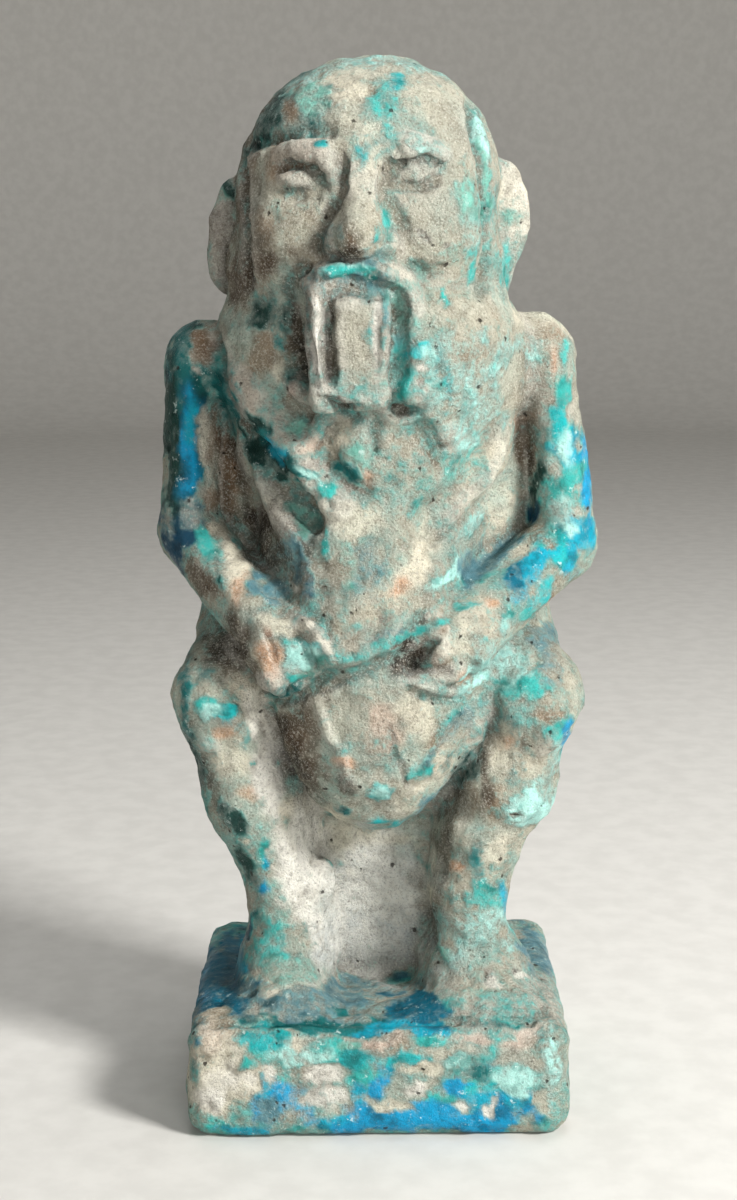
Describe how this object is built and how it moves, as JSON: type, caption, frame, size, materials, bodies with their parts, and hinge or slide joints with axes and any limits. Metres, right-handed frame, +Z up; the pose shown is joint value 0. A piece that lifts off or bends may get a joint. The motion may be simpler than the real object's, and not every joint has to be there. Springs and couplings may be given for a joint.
{
  "type": "bes figure",
  "caption": "Small faience figure of the dwarf god Bes, squatting with hands on a round belly, moulded in one with a rectangular plinth.",
  "frame": {"origin": "middle of the plinth's flat underside", "axes": "+Z up from the underside to the crown of the head, -Y out of the figure's front, +X to the viewer's right"},
  "size_m": [0.0632, 0.0479, 0.1502],
  "materials": {
    "glazed_faience": "worn turquoise glaze over buff body, pitted"
  },
  "bodies": {
    "root": {"bes_figure": "glazed_faience"}
  },
  "joints": []
}
